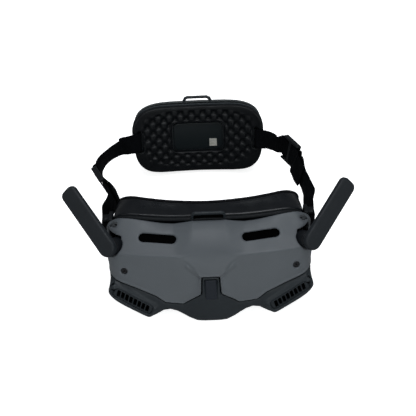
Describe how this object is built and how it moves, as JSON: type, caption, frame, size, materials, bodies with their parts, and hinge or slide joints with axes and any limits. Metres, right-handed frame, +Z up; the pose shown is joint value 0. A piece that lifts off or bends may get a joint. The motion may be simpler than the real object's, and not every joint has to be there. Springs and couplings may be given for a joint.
{
  "type": "fpv goggles",
  "caption": "Video goggles for flying a drone by camera view, with folding side antennas, sliding eyepieces, an adjustable headband and a padded battery pack at its back.",
  "frame": {"origin": "centre of the flat keel under the lower housing, on the centre plane of the goggles", "axes": "+X to the wearer's left, +Y from the front of the goggles towards the battery, +Z up"},
  "size_m": [0.2476, 0.2381, 0.0972],
  "materials": {
    "aluminium": "satin",
    "board_green": "solder resist",
    "cell_wrap": "shrink wrap",
    "cover_grey": "satin grey moulded plastic",
    "foam_black": "black foam",
    "glass": "polished",
    "housing_black": "matt black moulded plastic",
    "label_grey": "plain label",
    "light_pipe": "frosted",
    "mesh_black": "matt black",
    "rubber_black": "soft black rubber",
    "steel": "satin",
    "webbing_black": "woven elastic webbing"
  },
  "bodies": {
    "goggles": {"antenna_base_left": "rubber_black", "antenna_base_right": "rubber_black", "audio_socket": "steel", "battery_back_shell": "housing_black", "battery_board": "board_green", "battery_cell_lower": "cell_wrap", "battery_cell_upper": "cell_wrap", "battery_inner_shell": "housing_black", "battery_label": "label_grey", "battery_pad": "foam_black", "battery_top_loop": "housing_black", "battery_window": "glass", "charge_lights": "light_pipe", "cover_screw_left": "steel", "cover_screw_right": "steel", "face_foam": "foam_black", "face_shield": "rubber_black", "fan_frame": "housing_black", "front_cover": "cover_grey", "guide_rail_lower": "steel", "guide_rail_upper": "steel", "heat_sink": "aluminium", "hinge_pin_left": "steel", "hinge_pin_right": "steel", "intake_mesh_left": "mesh_black", "intake_mesh_right": "mesh_black", "lens_panel": "housing_black", "lower_housing": "housing_black", "mainboard": "board_green", "nose_trim": "housing_black", "outlet_grille_left": "housing_black", "outlet_grille_right": "housing_black", "proximity_window": "glass", "rear_housing": "housing_black", "strap_anchor_left": "housing_black", "strap_anchor_right": "housing_black", "strap_left": "webbing_black", "strap_right": "webbing_black", "strap_slider_left": "housing_black", "strap_slider_right": "housing_black", "top_strap_loop": "housing_black", "usb_socket": "steel"},
    "antenna_left": {"antenna_left": "rubber_black"},
    "antenna_right": {"antenna_right": "rubber_black"},
    "fan": {"fan_impeller": "rubber_black"},
    "back_button": {"back_button": "rubber_black"},
    "link_button": {"link_button": "rubber_black"},
    "power_button": {"power_button": "rubber_black"},
    "eyepiece_left": {"optics_carriage_left": "housing_black", "lens_ring_left": "rubber_black", "display_left": "glass"},
    "lens_left": {"lens_left": "glass"},
    "diopter_knob_left": {"diopter_knob_left": "rubber_black"},
    "eyepiece_right": {"optics_carriage_right": "housing_black", "lens_ring_right": "rubber_black", "display_right": "glass"},
    "lens_right": {"lens_right": "glass"},
    "diopter_knob_right": {"diopter_knob_right": "rubber_black"}
  },
  "joints": [
    {"name": "antenna_left_fold", "type": "hinge", "parent": "goggles", "child": "antenna_left", "pos_m": [0.082, -0.017, 0.06], "axis": [0.4967, -0.7094, 0.5], "range_deg": [-120, 50]},
    {"name": "eye_spacing_left", "type": "slide", "parent": "goggles", "child": "eyepiece_left", "axis": [1, 0, 0], "range_m": [-0.004, 0.004]},
    {"name": "diopter_left_turn", "type": "hinge", "parent": "eyepiece_left", "child": "diopter_knob_left", "pos_m": [0.032, -0.009, 0.01], "axis": [0, 0, 1], "range_deg": [-120, 120]},
    {"name": "lens_left_focus", "type": "slide", "parent": "eyepiece_left", "child": "lens_left", "axis": [0, 1, 0], "range_m": [-0.0022, 0.0022]},
    {"name": "antenna_right_fold", "type": "hinge", "parent": "goggles", "child": "antenna_right", "pos_m": [-0.082, -0.017, 0.06], "axis": [-0.4967, -0.7094, 0.5], "range_deg": [-50, 120]},
    {"name": "eye_spacing_right", "type": "slide", "parent": "goggles", "child": "eyepiece_right", "axis": [-1, 0, 0], "range_m": [-0.004, 0.004]},
    {"name": "diopter_right_turn", "type": "hinge", "parent": "eyepiece_right", "child": "diopter_knob_right", "pos_m": [-0.032, -0.009, 0.01], "axis": [0, 0, 1], "range_deg": [-120, 120]},
    {"name": "lens_right_focus", "type": "slide", "parent": "eyepiece_right", "child": "lens_right", "axis": [0, 1, 0], "range_m": [-0.0022, 0.0022]},
    {"name": "fan_spin", "type": "hinge", "parent": "goggles", "child": "fan", "pos_m": [0, -0.03, 0.031], "axis": [0, 1, 0], "continuous": true},
    {"name": "back_button_press", "type": "slide", "parent": "goggles", "child": "back_button", "axis": [0, 0, 1], "range_m": [0, 0.0006], "stiffness_N_per_m": 800, "springref_m": -0.0005},
    {"name": "link_button_press", "type": "slide", "parent": "goggles", "child": "link_button", "axis": [0, 0, 1], "range_m": [0, 0.0006], "stiffness_N_per_m": 800, "springref_m": -0.0005},
    {"name": "power_button_press", "type": "slide", "parent": "goggles", "child": "power_button", "axis": [0, -0.9272, 0.3746], "range_m": [0, 0.0008], "stiffness_N_per_m": 800, "springref_m": -0.0005}
  ],
  "couplings": [
    {"joint": "lens_left_focus", "follows": "diopter_left_turn", "m_per_rad": 0.001},
    {"joint": "lens_right_focus", "follows": "diopter_right_turn", "m_per_rad": 0.001}
  ]
}
